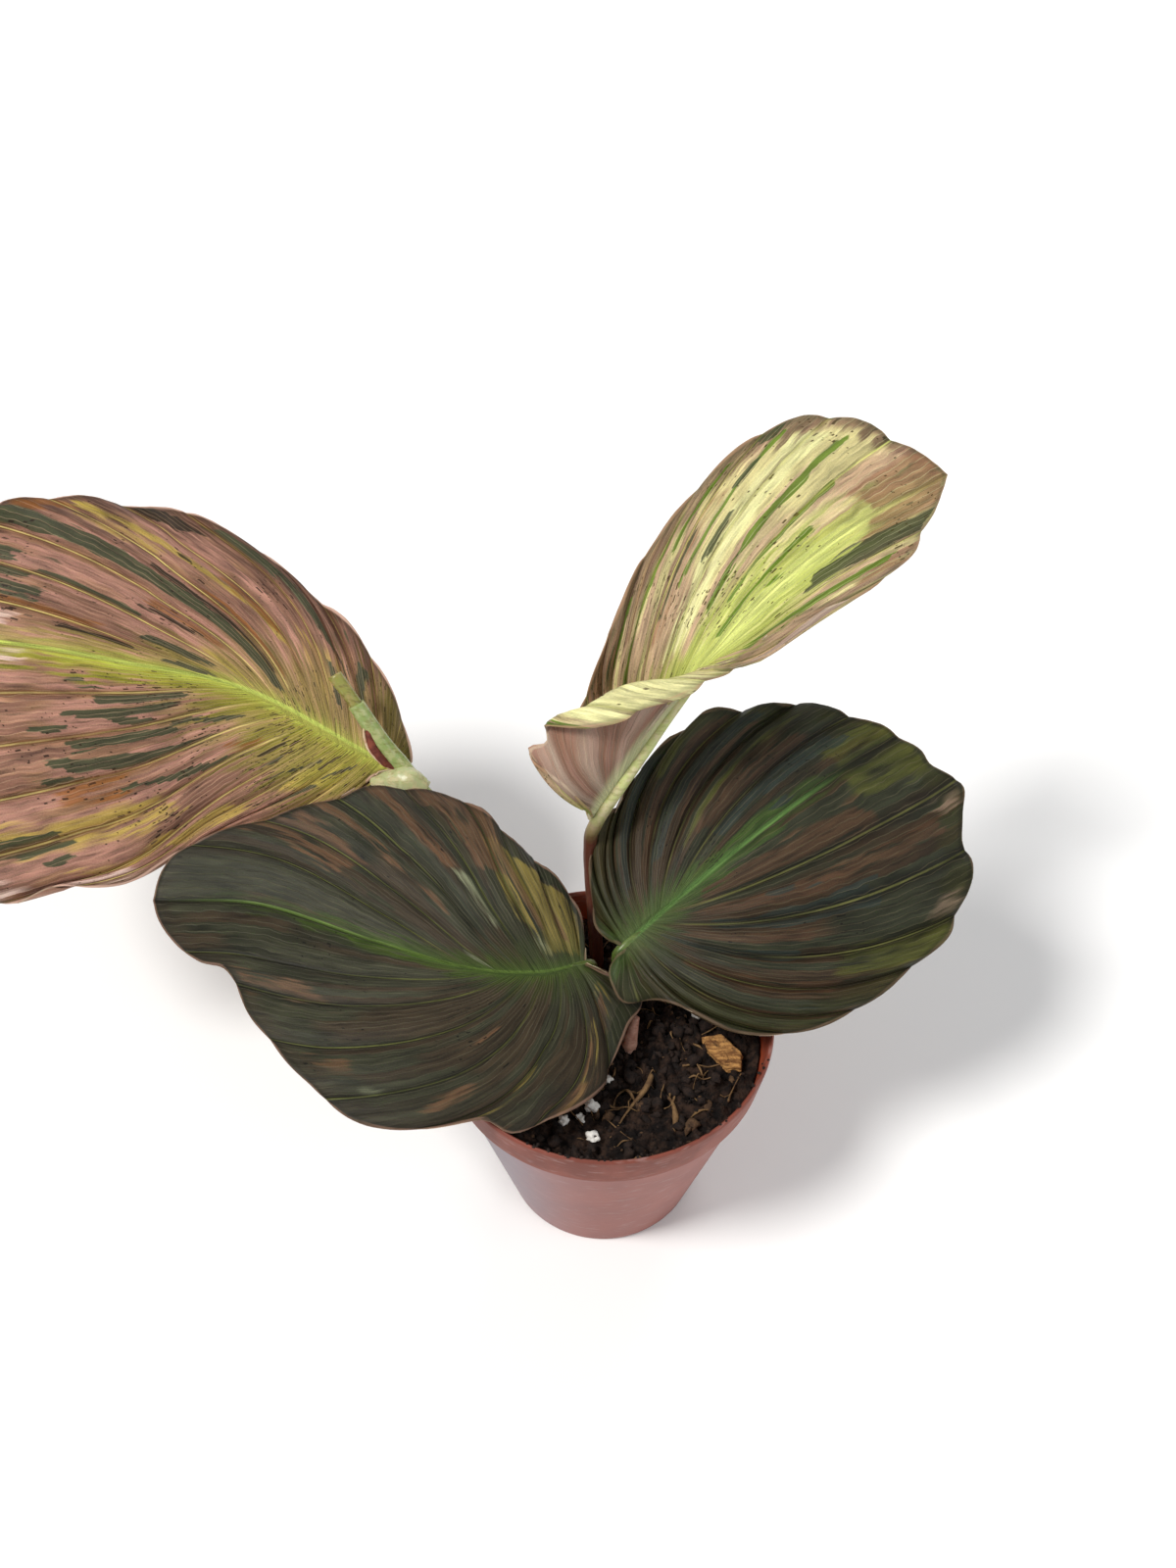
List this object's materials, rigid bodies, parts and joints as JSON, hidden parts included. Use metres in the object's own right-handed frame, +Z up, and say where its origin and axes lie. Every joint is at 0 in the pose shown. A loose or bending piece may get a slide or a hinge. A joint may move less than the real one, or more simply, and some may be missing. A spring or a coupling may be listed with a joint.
{
  "type": "potted kaempferia",
  "caption": "Young patterned-leaf kaempferia with broad wavy leaves on short stalks, rooted in soil in a round tapered nursery pot.",
  "frame": {"origin": "centre of the pot's flat underside", "axes": "+Z up along the pot's axis, +X towards the viewer's right, +Y away from the viewer"},
  "size_m": [0.329, 0.1736, 0.1897],
  "materials": {
    "pot": "matte moulded plastic, dusty on the outside",
    "soil": "moist fibrous potting mix",
    "bark": "rough dry bark",
    "copper_leaf": "soft satin leaf, copper with slate-green blotches",
    "dark_leaf": "soft satin leaf, dark grey-green with brown bands",
    "slate_leaf": "soft satin leaf, slate green with brown bands",
    "lime_leaf": "soft satin leaf, lime with pinkish margins",
    "stalk": "smooth fleshy stalk, pale green",
    "dry_sheath": "papery dry sheath",
    "shoot": "smooth young shoot, pinkish tan"
  },
  "bodies": {
    "root": {"pot": "pot", "soil": "soil", "bark_chip": "bark", "leaf_upper_left": "copper_leaf", "leaf_lower_left": "dark_leaf", "leaf_right": "slate_leaf", "leaf_top": "lime_leaf", "stem_left": "stalk", "dry_sheath": "dry_sheath", "shoot": "shoot"}
  },
  "joints": []
}
